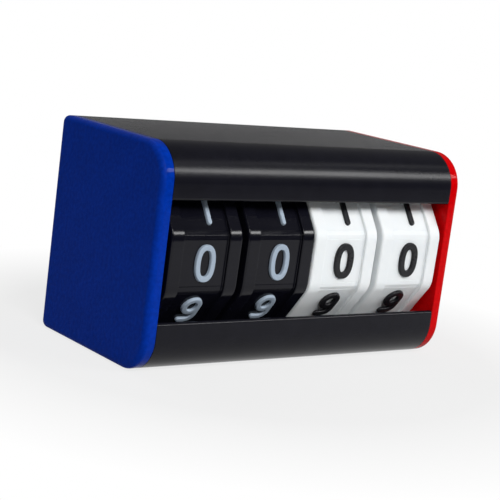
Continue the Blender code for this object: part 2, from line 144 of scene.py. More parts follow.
# Sizes worked out from the values above
HALF_FACE = math.pi / FACE_COUNT
FACE_ANGLE = 2 * HALF_FACE
WHEEL_WIDTH = WHEEL_HIGH.x - WHEEL_LOW.x
FLANGE_APOTHEM = AXLE_Y - WHEEL_LOW.y
DIGIT_APOTHEM = FLANGE_APOTHEM - DIGIT_FACE_RECESS
RIM_APOTHEM = DIGIT_APOTHEM - RIM_WALL
WHEEL_REACH = WHEEL_HIGH.z - AXLE_Z
CAP_INNER_X = HOUSING_HIGH.x + SEAT_GAP
BOSS_HEIGHT = CAP_INNER_X - SEAT_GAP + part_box("end_washer")[0].x
PROFILE_HALF_LENGTH = HOUSING_HIGH.x
CEILING_Z = HEIGHT - WALL
GROOVE_FOOT_TOP = CEILING_Z - SPRING_THICKNESS - 2 * SEAT_GAP
WINDOW_BOTTOM = AXLE_Z - WINDOW_HALF_HEIGHT + LOWER_LIP_RISE
WINDOW_TOP = AXLE_Z + WINDOW_HALF_HEIGHT


# Mesh helpers

def skin(mesh_data, pairs):
    """Join each pair of rings, which have equal numbers of points, with faces."""
    for first, second in pairs:
        for i in range(len(first)):
            j = (i + 1) % len(first)
            mesh_data.faces.new((first[i], first[j], second[j], second[i]))


def loft(loops, mesh_data=None):
    """Skin a row of closed loops and close both ends."""
    mesh_data = mesh_data or bmesh.new()
    rings = [[mesh_data.verts.new(point) for point in loop] for loop in loops]
    skin(mesh_data, zip(rings, rings[1:]))
    mesh_data.faces.new(list(reversed(rings[0])))
    mesh_data.faces.new(rings[-1])
    return mesh_data


def at_x(outline, x):
    return [Vector((x, y, z)) for y, z in outline]


def prism(outline, x_low, x_high, mesh_data=None):
    return loft([at_x(outline, x_low), at_x(outline, x_high)], mesh_data)


def arc(centre_y, centre_z, radius, start, end, steps):
    """Points of an arc; the angle runs from +Y towards +Z."""
    points = []
    for i in range(steps + 1):
        angle = start + (end - start) * i / steps
        points.append((centre_y + radius * math.cos(angle), centre_z + radius * math.sin(angle)))
    return points


def circle(radius):
    last = ROUND_STEPS - 1
    return arc(0, 0, radius, 0, 2 * math.pi * last / ROUND_STEPS, last)


def add_object(name, data):
    """An object in the scene that holds the given mesh, camera or light."""
    made = bpy.data.objects.new(name, data)
    bpy.context.scene.collection.objects.link(made)
    return made


def mesh_object(name, mesh_data, smooth_below=None):
    """Link a bmesh as an object, with faces pointing out."""
    bmesh.ops.recalc_face_normals(mesh_data, faces=mesh_data.faces)
    mesh = bpy.data.meshes.new(name)
    mesh_data.to_mesh(mesh)
    mesh_data.free()
    if smooth_below is not None:
        mesh.shade_smooth()
        mesh.set_sharp_from_angle(angle=smooth_below)
    return add_object(name, mesh)


def mesh_alone(made):
    """Remove an object and keep its mesh."""
    mesh = made.data
    bpy.data.objects.remove(made, do_unlink=True)
    return mesh


def combined(target, helpers, smooth_below):
    """The target with each (helper, operation) applied; the helpers are removed."""
    for helper, operation in helpers:
        step = target.modifiers.new(helper.name, "BOOLEAN")
        step.operation = operation
        step.solver = "EXACT"
        step.object = helper
    evaluated = target.evaluated_get(bpy.context.evaluated_depsgraph_get())
    mesh = bpy.data.meshes.new_from_object(evaluated)
    mesh.name = target.name
    target.modifiers.clear()
    target.data = mesh
    for helper, _ in helpers:
        bpy.data.objects.remove(helper, do_unlink=True)
    mesh.shade_smooth()
    mesh.set_sharp_from_angle(angle=smooth_below)
    return target


def even_shading(piece):
    """Large flat faces keep flat shading beside small rounded edges."""
    step = piece.modifiers.new("even_shading", "WEIGHTED_NORMAL")
    step.weight = 100
    step.keep_sharp = True
    return piece


def finish_piece(piece, body, finish, nodes=()):
    piece.data.materials.clear()
    piece.data.materials.append(finish)
    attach(piece, body)
    if nodes:
        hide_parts(*nodes)
    return piece


# Number wheels

def border_points():
    """Across the border of a digit face, from its corner in: (distance, drop)."""
    line_start = BORDER_WIDTH - BORDER_LINE_WIDTH
    line_middle = BORDER_WIDTH - BORDER_LINE_WIDTH / 2
    return [(line_start, BORDER_STEP), (line_middle, BORDER_LINE_DEPTH), (BORDER_WIDTH, 0)]


def polygon(apothem, corner_radius, border_share=0):
    """The ten-sided outline about the axle, with each corner rounded; one flat faces -Y."""
    sunk = apothem - border_share * BORDER_FALL
    corner_at = (sunk - corner_radius) / math.cos(HALF_FACE)
    half_flat = (sunk - corner_radius) * math.tan(HALF_FACE)
    points = []
    for face in range(FACE_COUNT):
        angle = math.pi + HALF_FACE + face * FACE_ANGLE
        centre_y = corner_at * math.cos(angle)
        centre_z = corner_at * math.sin(angle)
        points += arc(centre_y, centre_z, corner_radius, angle - HALF_FACE, angle + HALF_FACE,
                      CORNER_STEPS)
        outward = Vector((math.cos(angle + HALF_FACE), math.sin(angle + HALF_FACE)))
        along = Vector((-outward.y, outward.x))
        borders = [(distance - half_flat, drop) for distance, drop in border_points()]
        borders += [(-place, drop) for place, drop in reversed(borders)]
        for place, drop in borders:
            point = outward * (apothem - border_share * drop) + along * place
            points.append((point.x, point.y))
    return points


def quarter_turn(steps):
    return [math.pi / 2 * i / steps for i in range(steps + 1)]


def rim_stations():
    """Half of the rim, from its side face in: (x, depth below the flange, share of the step)."""
    half = WHEEL_WIDTH / 2
    inner_x = half - FLANGE_WIDTH
    stations = [(half - FLANGE_EDGE_RADIUS * (1 - math.cos(turn)),
                 FLANGE_EDGE_RADIUS * (1 - math.sin(turn)), 0)
                for turn in quarter_turn(EDGE_STEPS)]
    step = [(inner_x + FLANGE_STEP_RADIUS * (1 - math.sin(turn)),
             FLANGE_STEP_RADIUS * (1 - math.cos(turn))) for turn in quarter_turn(EDGE_STEPS)]
    step += [(inner_x - STEP_FOOT_RADIUS * (1 - math.cos(turn)),
              DIGIT_FACE_RECESS - STEP_FOOT_RADIUS * (1 - math.sin(turn)))
             for turn in quarter_turn(EDGE_STEPS)]
    return stations + [(x, below, below / DIGIT_FACE_RECESS) for x, below in step]


def wheel_rim():
    loops = []
    for x, below, share in rim_stations():
        corner = FLANGE_CORNER_RADIUS + share * (DIGIT_CORNER_RADIUS - FLANGE_CORNER_RADIUS)
        loops.append(at_x(polygon(FLANGE_APOTHEM - below, corner, share), x))
    mirrored = [[Vector((-p.x, p.y, p.z)) for p in loop] for loop in reversed(loops)]
    return loft(loops + mirrored)


def side_recesses():
    half = WHEEL_WIDTH / 2
    outline = polygon(RIM_APOTHEM, DIGIT_CORNER_RADIUS)
    mesh_data = prism(outline, half - HUB_RECESS, half + CUT_OVERRUN)
    return prism(outline, -half - CUT_OVERRUN, -half + HUB_RECESS, mesh_data)


def pocket_outline(face):
    """One pocket between two ribs, the rim and the hub."""
    half_rib = RIB_THICKNESS / 2
    rim_at = RIM_APOTHEM - RIM_LEDGE
    rim_half = rim_at * math.tan(HALF_FACE) - half_rib / math.cos(HALF_FACE)
    hub_half_angle = HALF_FACE - math.asin(half_rib / HUB_RADIUS)
    points = [(rim_at, rim_half)]
    points += arc(0, 0, HUB_RADIUS, hub_half_angle, -hub_half_angle, CORNER_STEPS)
    points.append((rim_at, -rim_half))
    turn = Matrix.Rotation(math.pi + face * FACE_ANGLE, 2)
    return [tuple(turn @ Vector(point)) for point in points]


def rib_pockets():
    half = WHEEL_WIDTH / 2
    mesh_data = bmesh.new()
    for face in range(FACE_COUNT):
        outline = pocket_outline(face)
        for side in (-1, 1):
            near, far = sorted((side * WEB_THICKNESS / 2, side * (half - HUB_RECESS + CUT_OVERRUN)))
            prism(outline, near, far, mesh_data)
    return mesh_data


def make_wheel_mesh():
    wheel = mesh_object("wheel_pattern", wheel_rim())
    cutters = [
        (mesh_object("side_recesses", side_recesses()), "DIFFERENCE"),
        (mesh_object("rib_pockets", rib_pockets()), "DIFFERENCE"),
        (mesh_object("bore", prism(circle(BORE_RADIUS), -WHEEL_WIDTH, WHEEL_WIDTH)), "DIFFERENCE"),
    ]
    return mesh_alone(combined(wheel, cutters, MOULDED_SMOOTH_ANGLE))


# Digits, drawn as strokes in shares of the half width and half height

def ellipse_run(centre, radii, start, end):
    """Points of an elliptical arc, with angles in degrees and sizes in shares."""
    steps = max(LEAST_RUN_STEPS, round(abs(end - start) / 360 * STROKE_STEPS))
    points = []
    for i in range(steps + 1):
        angle = math.radians(start + (end - start) * i / steps)
        points.append((centre[0] + radii[0] * math.cos(angle),
                       centre[1] + radii[1] * math.sin(angle)))
    return points


def squarer(share):
    return math.copysign(abs(share) ** (2 / ZERO_POWER), share)


def zero_loop():
    """The closed line of the 0, a little squarer than an ellipse."""
    return [(squarer(x), squarer(y)) for x, y in ellipse_run((0, 0), (1, 1), 0, 360)[:-1]]


def nine_loop():
    return ellipse_run((0.03, 0.38), (0.92, 0.57), 0, 360)[:-1]


def nine_tail():
    return [(0.95, 0.38)] + ellipse_run((-0.05, -0.40), (1.0, 0.53), 0, -90) + [(-0.62, -0.93)]


def turned_over(points):
    return [(-x, -y) for x, y in points]


def digit_strokes(digit):
    """The strokes of a digit: (points in shares, closed)."""
    return {
        0: [(zero_loop(), True)],
        1: [([(-0.3, 0.76), (0.5, 1), (0.5, -0.92)], False)],
        2: [(ellipse_run((0, 0.42), (1, 0.58), 165, -45) + [(-1, -1), (1, -1)], False)],
        3: [(ellipse_run((0, 0.54), (0.9, 0.46), 155, -90) + [(-0.25, 0.08)], False),
            ([(-0.25, 0.08)] + ellipse_run((0, -0.46), (1, 0.54), 90, -155), False)],
        4: [([(0.2, 1), (-1, -0.4), (1.05, -0.4)], False),
            ([(0.45, 0.15), (0.45, -1)], False)],
        5: [([(0.85, 1), (-0.72, 1)] + ellipse_run((0, -0.42), (1, 0.58), 142, -150), False)],
        6: [(turned_over(nine_loop()), True), (turned_over(nine_tail()), False)],
        7: [([(-1, 1), (1, 1), (-0.3, -1)], False)],
        8: [(ellipse_run((0, 0.54), (0.88, 0.46), 0, 360)[:-1], True),
            (ellipse_run((0, -0.46), (1, 0.54), 0, 360)[:-1], True)],
        9: [(nine_loop(), True), (nine_tail(), False)],
    }[digit]


def half_profile(stroke):
    """Half of a stroke's section, from the middle of its top to the middle of its foot."""
    half = stroke / 2
    radius = STROKE_EDGE_RADIUS
    points = [(0, STROKE_RAISE)]
    points += [(half - radius * (1 - math.sin(turn)), STROKE_RAISE - radius * (1 - math.cos(turn)))
               for turn in quarter_turn(EDGE_STEPS)]
    foot = half + STROKE_FOOT_SPREAD
    return points + [(foot, STROKE_BARE_HEIGHT), (foot, -STROKE_SINK), (0, -STROKE_SINK)]


def turned_by(direction, angle):
    return Matrix.Rotation(angle, 2) @ direction


def stroke_stations(points, closed):
    """Places along a stroke, each with the directions to its left and right edges."""
    count = len(points)
    stations = []
    for i, here in enumerate(points):
        before = points[i - 1] if closed or i else None
        after = points[(i + 1) % count] if closed or i < count - 1 else None
        if before is None or after is None:
            along = ((after - here) if before is None else (here - before)).normalized()
            outward = -along if before is None else along
            turns = quarter_turn(CORNER_STEPS)
            if after is None:
                turns.reverse()
            side = -1 if before is None else 1
            stations += [(here, turned_by(outward, side * t), turned_by(outward, -side * t))
                         for t in turns]
            continue
        arriving = (here - before).normalized()
        leaving = (after - here).normalized()
        bend = arriving.angle_signed(leaving)
        reach = 1 / math.cos(bend / 2)
        left_in = Vector((-arriving.y, arriving.x))
        inner = turned_by(left_in, -bend / 2) * reach
        if abs(bend) < GENTLE_BEND:
            stations.append((here, inner, -inner))
            continue
        for k in range(CORNER_STEPS + 1):
            fan = turned_by(left_in, -bend * k / CORNER_STEPS)
            stations.append((here, inner, -fan) if bend < 0 else (here, fan, -inner))
    return stations


def stroke_mesh(points, closed, stroke):
    """A raised stroke of even width, with round ends and a rounded top edge."""
    section = half_profile(stroke)
    mesh_data = bmesh.new()
    rings = []
    for here, left, right in stroke_stations(points, closed):
        flat = [(here + left * across, rise) for across, rise in section]
        flat += [(here + right * across, rise) for across, rise in reversed(section[1:-1])]
        rings.append([mesh_data.verts.new((p.x, p.y, rise)) for p, rise in flat])
    pairs = list(zip(rings, rings[1:]))
    if closed:
        pairs.append((rings[-1], rings[0]))
    skin(mesh_data, pairs)
    bmesh.ops.remove_doubles(mesh_data, verts=mesh_data.verts, dist=MERGE_DISTANCE)
    return mesh_data


def digit_object(digit, sizes):
    """One digit lying in the XY plane, with its strokes joined."""
    half_width = (sizes["width"] - sizes["stroke"]) / 2
    half_height = (sizes["height"] - sizes["stroke"]) / 2
    stroke = sizes["stroke"] * (ONE_STROKE_SHARE if digit == 1 else 1)
    made = []
    for number, (shares, closed) in enumerate(digit_strokes(digit)):
        points = [Vector((x * half_width + DIGIT_SHIFT, y * half_height)) for x, y in shares]
        shape = stroke_mesh(points, closed, stroke)
        made.append(mesh_object(f"stroke_{digit}_{number}", shape))
    flat = combined(made[0], [(other, "UNION") for other in made[1:]], MOULDED_SMOOTH_ANGLE)
    for face in flat.data.polygons:
        face.material_index = 1 if face.center.z < STROKE_BARE_HEIGHT else 0
    return flat


def make_digit_mesh(sizes):
    """All ten digits round the axle: 0 faces -Y and the next ones follow upward."""
    mesh_data = bmesh.new()
    for digit in range(FACE_COUNT):
        flat = digit_object(digit, sizes)
        angle = digit * FACE_ANGLE
        outward = Vector((0, -math.cos(angle), math.sin(angle)))
        upward = Vector((0, math.sin(angle), math.cos(angle)))
        place = Matrix((Vector((1, 0, 0)), upward, outward)).transposed().to_4x4()
        place.translation = outward * DIGIT_APOTHEM
        flat.data.transform(place)
        mesh_data.from_mesh(flat.data)
        bpy.data.objects.remove(flat, do_unlink=True)
    return mesh_alone(mesh_object("digit_pattern", mesh_data, MOULDED_SMOOTH_ANGLE))


def make_wheels(team, plastic, paint, digit_sizes):
    """The wheels of one team: the moulding, and the painted digits on it."""
    wheel_mesh = make_wheel_mesh()
    digit_mesh = make_digit_mesh(digit_sizes)
    for body in team:
        wheel = add_object(f"{body}_moulding", wheel_mesh.copy())
        digits = add_object(f"{body}_digits", digit_mesh.copy())
        for piece in (wheel, digits):
            piece.location = WHEEL_CENTRES[body]
            piece.rotation_euler = (REST_TURN, 0, 0)
            even_shading(piece)
        finish_piece(wheel, body, plastic, [f"number_{body}"])
        finish_piece(digits, body, paint)
        digits.data.materials.append(plastic)


# Housing

def lower_front_arc(offset):
    return arc(FRONT_Y + FRONT_RADIUS, FRONT_RADIUS, FRONT_RADIUS - offset,
               -math.pi / 2, -math.pi, ARC_STEPS)


def upper_front_arc(offset):
    return arc(FRONT_Y + FRONT_RADIUS, HEIGHT - FRONT_RADIUS, FRONT_RADIUS - offset,
               math.pi, math.pi / 2, ARC_STEPS)


def lower_back_arc(radius, offset=0):
    return arc(BACK_Y - offset - radius, offset + radius, radius, 0, -math.pi / 2, EDGE_STEPS)


def upper_back_arc(radius, offset=0):
    return arc(BACK_Y - offset - radius, HEIGHT - offset - radius, radius, math.pi / 2, 0,
               EDGE_STEPS)


def groove_hooks():
    """The two hooks that hold the springs, walked from the back to the front."""
    foot_top = GROOVE_FOOT_TOP
    foot_bottom = foot_top - GROOVE_FOOT_THICKNESS
    points = []
    for edge, outward in ((SPRING_HIGH.y, 1), (SPRING_LOW.y, -1)):
        web_inner = edge + outward * SEAT_GAP
        web_outer = web_inner + outward * GROOVE_WEB_THICKNESS
        foot_tip = edge - outward * GROOVE_FOOT_HOLD
        hook = [(web_outer, CEILING_Z), (web_outer, foot_bottom), (foot_tip, foot_bottom),
                (foot_tip, foot_top), (web_inner, foot_top), (web_inner, CEILING_Z)]
        points += hook if outward > 0 else list(reversed(hook))
    return points


def lip_end(tip_z, upward):
    radius = LIP_EDGE_RADIUS
    outer_y = FRONT_Y + radius
    inner_y = FRONT_Y + WALL - radius
    if upward:
        return (arc(outer_y, tip_z - radius, radius, math.pi, math.pi / 2, EDGE_STEPS)
                + arc(inner_y, tip_z - radius, radius, math.pi / 2, 0, EDGE_STEPS))
    return (arc(inner_y, tip_z + radius, radius, 0, -math.pi / 2, EDGE_STEPS)
            + arc(outer_y, tip_z + radius, radius, -math.pi / 2, -math.pi, EDGE_STEPS))


def housing_section():
    outside = lower_back_arc(BACK_CORNER_RADIUS) + lower_front_arc(0)
    lower_lip = lip_end(WINDOW_BOTTOM, True)
    inner_floor = list(reversed(lower_front_arc(WALL))) + [(BACK_Y - WALL, WALL)]
    inner_top = [(BACK_Y - WALL, CEILING_Z)] + groove_hooks() + list(reversed(upper_front_arc(WALL)))
    upper_lip = lip_end(WINDOW_TOP, False)
    outside_top = upper_front_arc(0) + upper_back_arc(BACK_CORNER_RADIUS)
    return outside + lower_lip + inner_floor + inner_top + upper_lip + outside_top


def make_housing(finish):
    mesh_data = prism(housing_section(), -PROFILE_HALF_LENGTH, PROFILE_HALF_LENGTH)
    ends = [face for face in mesh_data.faces if len(face.verts) > 4]
    rims = [edge for face in ends for edge in face.edges]
    bmesh.ops.bevel(mesh_data, geom=rims, offset=SAWN_EDGE_BEVEL, segments=2, affect="EDGES",
                    profile=0.5, clamp_overlap=True)
    housing = mesh_object("housing_shell", mesh_data, PLATE_SMOOTH_ANGLE)
    even_shading(housing)
    return finish_piece(housing, "housing", finish, ["housing_profile"])


# End caps

def cap_outline(inset):
    back_radius = max(BACK_CORNER_RADIUS - inset, CAP_CORNER_MINIMUM)
    return (upper_front_arc(inset) + upper_back_arc(back_radius, inset)
            + lower_back_arc(back_radius, inset) + lower_front_arc(inset))


def cap_plate():
    """A plate with a rounded outer edge and a fine chamfer where it meets the housing."""
    plate_x = HOUSING_HIGH.x + CAP_JOINT_GAP
    stations = [(plate_x, CAP_SEAT_CHAMFER), (plate_x + CAP_SEAT_CHAMFER, 0)]
    for turn in quarter_turn(2 * EDGE_STEPS):
        x = CAP_OUTER_X - CAP_EDGE_RADIUS * (1 - math.sin(turn))
        stations.append((x, CAP_EDGE_RADIUS * (1 - math.cos(turn))))
    return loft([at_x(cap_outline(inset), x) for x, inset in stations])


def cap_plugs():
    """Three plugs that press into the ends of the housing."""
    outer = WALL + SEAT_GAP
    inner = outer + PLUG_THICKNESS
    hook_room = 2 * SEAT_GAP + GROOVE_WEB_THICKNESS
    plug_back_y = BACK_Y - inner - AXLE_Y
    clear_radius = max(WHEEL_REACH + PLUG_WHEEL_CLEARANCE, plug_back_y)
    back_stop = math.sqrt(clear_radius ** 2 - plug_back_y ** 2) + PLUG_WHEEL_CLEARANCE
    low_front_z = WINDOW_BOTTOM - PLUG_BELOW_LIP
    high_front_z = WINDOW_TOP + PLUG_BELOW_LIP
    lower = [(FRONT_Y + outer, low_front_z)] + list(reversed(lower_front_arc(outer)))
    lower += [(BACK_Y - outer, outer), (BACK_Y - outer, AXLE_Z - back_stop),
              (BACK_Y - inner, AXLE_Z - back_stop), (BACK_Y - inner, inner)]
    lower += lower_front_arc(inner) + [(FRONT_Y + inner, low_front_z)]
    top_front_y = SPRING_LOW.y - hook_room
    upper_front = [(FRONT_Y + outer, high_front_z)] + upper_front_arc(outer)
    upper_front += [(top_front_y, HEIGHT - outer), (top_front_y, HEIGHT - inner)]
    upper_front += list(reversed(upper_front_arc(inner))) + [(FRONT_Y + inner, high_front_z)]
    top_back_y = SPRING_HIGH.y + hook_room
    upper_back = [(top_back_y, HEIGHT - outer), (BACK_Y - outer, HEIGHT - outer),
                  (BACK_Y - outer, AXLE_Z + back_stop), (BACK_Y - inner, AXLE_Z + back_stop),
                  (BACK_Y - inner, HEIGHT - inner), (top_back_y, HEIGHT - inner)]
    mesh_data = bmesh.new()
    for outline in (lower, upper_front, upper_back):
        prism(outline, CAP_INNER_X - PLUG_LENGTH, CAP_INNER_X + FUSE_OVERLAP, mesh_data)
    return mesh_data


def mirrored_in_x(mesh_data):
    for vertex in mesh_data.verts:
        vertex.co.x = -vertex.co.x
    return mesh_data


def make_cap(name, side, finish, node):
    """The right cap is modelled, and the left one is its mirror image."""
    face = mirrored_in_x if side < 0 else (lambda shape: shape)
    cap = mesh_object(name, face(cap_plate()))
    boss_end = CAP_INNER_X - BOSS_HEIGHT
    boss = prism(circle(BORE_RADIUS + BOSS_WALL), boss_end, CAP_INNER_X + FUSE_OVERLAP)
    socket = prism(circle(BORE_RADIUS), boss_end - CUT_OVERRUN, CAP_OUTER_X - SOCKET_FLOOR)
    helpers = [(mesh_object(f"{name}_plugs", face(cap_plugs())), "UNION")]
    for part_name, shape, operation in (("boss", boss, "UNION"), ("socket", socket, "DIFFERENCE")):
        helper = mesh_object(f"{name}_{part_name}", face(shape))
        helper.location = (0, AXLE_Y, AXLE_Z)
        helpers.append((helper, operation))
    combined(cap, helpers, PLATE_SMOOTH_ANGLE)
    even_shading(cap)
    finish_piece(cap, "housing", finish, [node])


# Materials: each colour runs from a dark to a pale end, in linear light

HOUSING_BLACK = ((0.0050, 0.0050, 0.0084), (0.0066, 0.0066, 0.0108))
CAP_BLUE = ((0.0002, 0.0240, 0.262), (0.0004, 0.0355, 0.395))
CAP_RED = ((0.49, 0.0002, 0.0012), (0.65, 0.0004, 0.0024))
WHEEL_BLACK = ((0.0034, 0.0034, 0.0066), (0.0050, 0.0050, 0.0092))
WHEEL_WHITE = ((0.83, 0.87, 0.89), (0.88, 0.91, 0.92))
PALE_PAINT = ((0.345, 0.42, 0.51), (0.39, 0.47, 0.565))
BLACK_PAINT = ((0.010, 0.010, 0.012), (0.015, 0.015, 0.018))
DRAWN_STEEL = ((0.5, 0.5, 0.51), (0.62, 0.62, 0.63))
SPRING_STEEL = ((0.34, 0.34, 0.36), (0.46, 0.46, 0.48))
NYLON = ((0.68, 0.65, 0.58), (0.78, 0.76, 0.71))

# Marks are drawn out along the axes where this share of the scale is small
DIE_LINES = (0.012, 1, 1)
TURNED_LINES = (0.02, 1, 1)
ROLLED_LINES = (1, 0.02, 0.02)
SCUFFS = (0.15, 1, 1)
EVEN = (1, 1, 1)

RIM_TEXTURE_SHARE = 0.15           # of the cap's spark texture, what its rim keeps


def add_node(tree, kind, inputs=None, **settings):
    """Add a node; an input that is a socket is linked, any other is set."""
    made = tree.nodes.new(kind)
    for key, value in settings.items():
        setattr(made, key, value)
    for key, value in (inputs or {}).items():
        if isinstance(value, bpy.types.NodeSocket):
            tree.links.new(value, made.inputs[key])
        else:
            made.inputs[key].default_value = value
    return made


def combine(tree, operation, *values):
    """The socket of a math node on one or two values."""
    made = add_node(tree, "ShaderNodeMath", dict(enumerate(values)), operation=operation)
    return made.outputs["Value"]


def start_material(name, metallic=0.0, specular=0.5):
    made = bpy.data.materials.new(name)
    made.use_nodes = True
    tree = made.node_tree
    shader = tree.nodes["Principled BSDF"]
    shader.inputs["Metallic"].default_value = metallic
    shader.inputs["Specular IOR Level"].default_value = specular
    place = add_node(tree, "ShaderNodeTexCoord").outputs["Object"]
    return made, tree, shader, place


NOISE_SHIFT = (3.37, 7.71, 5.43)   # keeps the noise's own axes off the object


def noise(tree, place, per_metre, detail, stretch=EVEN):
    """Noise with so many features per metre, times the share of each axis."""
    scale = tuple(per_metre * share for share in stretch)
    mapped = add_node(tree, "ShaderNodeMapping", {"Vector": place, "Location": NOISE_SHIFT,
                                                  "Scale": scale})
    made = add_node(tree, "ShaderNodeTexNoise", {"Vector": mapped.outputs["Vector"], "Scale": 1.0,
                                                 "Detail": detail})
    return made.outputs["Fac"]


def ramp(tree, value, low, high, start=0.3, end=0.7):
    """A number or colour that runs from low to high as the value runs from start to end."""
    made = add_node(tree, "ShaderNodeMapRange", {"Value": value, "From Min": start,
                                                 "From Max": end, "To Min": low, "To Max": high})
    return made.outputs["Result"]


def blend_numbers(tree, share, first, second):
    made = add_node(tree, "ShaderNodeMix", {"Factor": share, 2: first, 3: second},
                    data_type="FLOAT")
    return made.outputs[0]


def blend_colours(tree, share, first, second):
    made = add_node(tree, "ShaderNodeMix", {"Factor": share}, data_type="RGBA")
    for socket, colour in zip([s for s in made.inputs if s.type == "RGBA"], (first, second)):
        socket.default_value = (*colour, 1)
    return next(s for s in made.outputs if s.type == "RGBA")


def add_bump(tree, shader, height, distance, strength=1.0, below=None):
    """A bump on the shader, laid over another one where that is given."""
    inputs = {"Height": height, "Distance": distance, "Strength": strength}
    if below is not None:
        inputs["Normal"] = below
    made = add_node(tree, "ShaderNodeBump", inputs)
    tree.links.new(made.outputs["Normal"], shader.inputs["Normal"])
    return made.outputs["Normal"]


def anodised_black():
    """Satin black anodised extrusion, with faint die lines along X."""
    made, tree, shader, place = start_material("anodised_black", specular=0.15)
    lines = noise(tree, place, per_metre=2600, detail=3, stretch=DIE_LINES)
    patches = noise(tree, place, per_metre=260, detail=3)
    grain = noise(tree, place, per_metre=9000, detail=2)
    colour = blend_colours(tree, ramp(tree, patches, 0, 1), *HOUSING_BLACK)
    tree.links.new(colour, shader.inputs["Base Color"])
    tree.links.new(ramp(tree, lines, 0.22, 0.27), shader.inputs["Roughness"])
    fine = add_bump(tree, shader, grain, distance=0.000004)
    add_bump(tree, shader, lines, distance=0.000002, below=fine)
    return made


def cap_plastic(name, colours):
    """Plastic with a fine spark-textured outer face and a smoother rim."""
    made, tree, shader, place = start_material(name, specular=0.04)
    mottle = noise(tree, place, per_metre=950, detail=5)
    cloud = noise(tree, place, per_metre=130, detail=2)
    along = add_node(tree, "ShaderNodeSeparateXYZ", {"Vector": place}).outputs["X"]
    outward = combine(tree, "ABSOLUTE", along)
    texture = ramp(tree, outward, RIM_TEXTURE_SHARE, 1.0, CAP_OUTER_X - CAP_EDGE_RADIUS,
                   CAP_OUTER_X)
    share = combine(tree, "ADD", ramp(tree, mottle, 0, 0.8), ramp(tree, cloud, 0, 0.2))
    colour = blend_colours(tree, share, *colours)
    tree.links.new(colour, shader.inputs["Base Color"])
    roughness = ramp(tree, texture, low=0.08, high=0.60, start=RIM_TEXTURE_SHARE, end=0.6)
    tree.links.new(roughness, shader.inputs["Roughness"])
    add_bump(tree, shader, mottle, distance=0.00009, strength=texture)
    return made


def moulded_plastic(name, colours, roughness, specular=0.25, milkiness=0, scuffed=SCUFFS):
    """Smooth moulded plastic with slight clouding and a fine tool finish."""
    made, tree, shader, place = start_material(name, specular=specular)
    cloud = noise(tree, place, per_metre=90, detail=3)
    tool_marks = noise(tree, place, per_metre=5200, detail=3)
    scuffs = noise(tree, place, per_metre=900, detail=4, stretch=scuffed)
    colour = blend_colours(tree, ramp(tree, cloud, 0, 1), *colours)
    tree.links.new(colour, shader.inputs["Base Color"])
    tree.links.new(ramp(tree, scuffs, roughness - 0.04, roughness + 0.05),
                   shader.inputs["Roughness"])
    shader.inputs["Subsurface Weight"].default_value = milkiness
    shader.inputs["Subsurface Scale"].default_value = 0.003
    shader.inputs["Subsurface Radius"].default_value = (1.0, 0.95, 0.9)
    add_bump(tree, shader, tool_marks, distance=0.000008)
    return made


def turned_steel(name, colours, roughness, stretch):
    """Steel with fine drawn-out marks."""
    made, tree, shader, place = start_material(name, metallic=1.0)
    marks = noise(tree, place, per_metre=7000, detail=3, stretch=stretch)
    colour = blend_colours(tree, ramp(tree, marks, 0, 1), *colours)
    tree.links.new(colour, shader.inputs["Base Color"])
    tree.links.new(ramp(tree, marks, roughness - 0.07, roughness + 0.08),
                   shader.inputs["Roughness"])
    add_bump(tree, shader, marks, distance=0.000003)
    return made


def natural_nylon():
    made, tree, shader, place = start_material("natural_nylon", specular=0.4)
    cloud = noise(tree, place, per_metre=700, detail=3)
    colour = blend_colours(tree, ramp(tree, cloud, 0, 1), *NYLON)
    tree.links.new(colour, shader.inputs["Base Color"])
    tree.links.new(ramp(tree, cloud, 0.45, 0.6), shader.inputs["Roughness"])
    shader.inputs["Subsurface Weight"].default_value = 0.15
    shader.inputs["Subsurface Scale"].default_value = 0.0015
    add_bump(tree, shader, cloud, distance=0.00001)
    return made


def dress_frame_nodes():
    """The CAD nodes that stay get their finishes."""
    steel = turned_steel("drawn_steel", DRAWN_STEEL, roughness=0.28, stretch=TURNED_LINES)
    spring = turned_steel("rolled_spring_steel", SPRING_STEEL, roughness=0.34,
                          stretch=ROLLED_LINES)
    nylon = natural_nylon()
    finishes = {"axle": steel, "wave_washer": spring, "end_washer": nylon}
    for node in frame["nodes"]:
        if node.startswith("detent_spring"):
            finishes[node] = spring
        if node.startswith("spacer_sleeve"):
            finishes[node] = nylon
    for node, finish in finishes.items():
        for material_slot in frame["nodes"][node].material_slots:
            material_slot.material = finish


# Camera, floor and light

CAMERA_PLACE = Vector((-0.244219, -0.307028, 0.096884))
CAMERA_AZIMUTH = math.radians(38.32)
CAMERA_DOWN = math.radians(10.27)
CAMERA_ROLL = math.radians(7.40)
CAMERA_LENS = 104.81
SENSOR_WIDTH = 36.0


def make_camera():
    sin_a, cos_a = math.sin(CAMERA_AZIMUTH), math.cos(CAMERA_AZIMUTH)
    sin_d, cos_d = math.sin(CAMERA_DOWN), math.cos(CAMERA_DOWN)
    forward = Vector((sin_a * cos_d, cos_a * cos_d, -sin_d))
    level_right = Vector((cos_a, -sin_a, 0))
    level_up = Vector((sin_a * sin_d, cos_a * sin_d, cos_d))
    right = math.cos(CAMERA_ROLL) * level_right + math.sin(CAMERA_ROLL) * level_up
    up = right.cross(forward)
    data = bpy.data.cameras.new("camera")
    data.sensor_width = SENSOR_WIDTH
    data.lens = CAMERA_LENS
    data.clip_start = 0.01
    camera = add_object("camera", data)
    turn = Matrix((right, up, -forward)).transposed()
    camera.matrix_world = Matrix.Translation(CAMERA_PLACE) @ turn.to_4x4()
    bpy.context.scene.camera = camera


